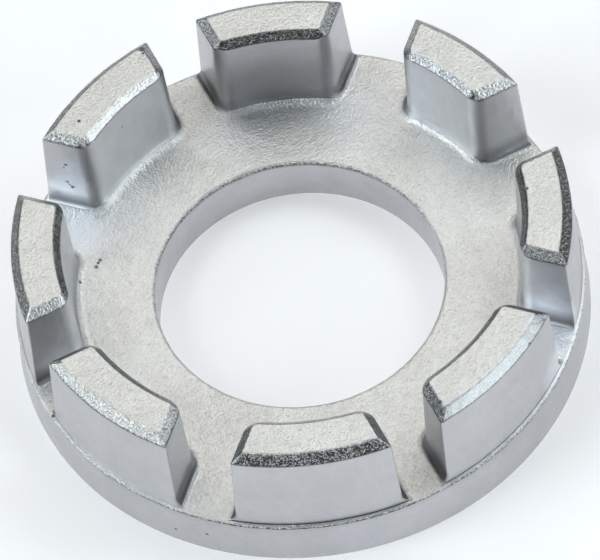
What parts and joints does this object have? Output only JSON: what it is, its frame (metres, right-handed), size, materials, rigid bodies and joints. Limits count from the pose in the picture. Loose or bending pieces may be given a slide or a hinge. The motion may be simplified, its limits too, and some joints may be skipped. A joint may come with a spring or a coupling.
{
  "type": "spoke wrench",
  "caption": "Round one-piece spoke wrench: a flat ring with a central bore and upright rim lugs whose slots turn spoke nipples of different sizes.",
  "frame": {"origin": "centre of the bore, in the plane of the underside", "axes": "+Z along the bore from the underside to the lugs, +X along the middle of slot 1, the widest slot; the slots follow at 45 degree steps from +X towards +Y"},
  "size_m": [0.038, 0.038, 0.0106],
  "materials": {
    "plated_steel": "bright plated casting, finely grained on its top faces and chamfers, satin on its walls"
  },
  "bodies": {
    "root": {"wrench_ring": "plated_steel"}
  },
  "joints": []
}
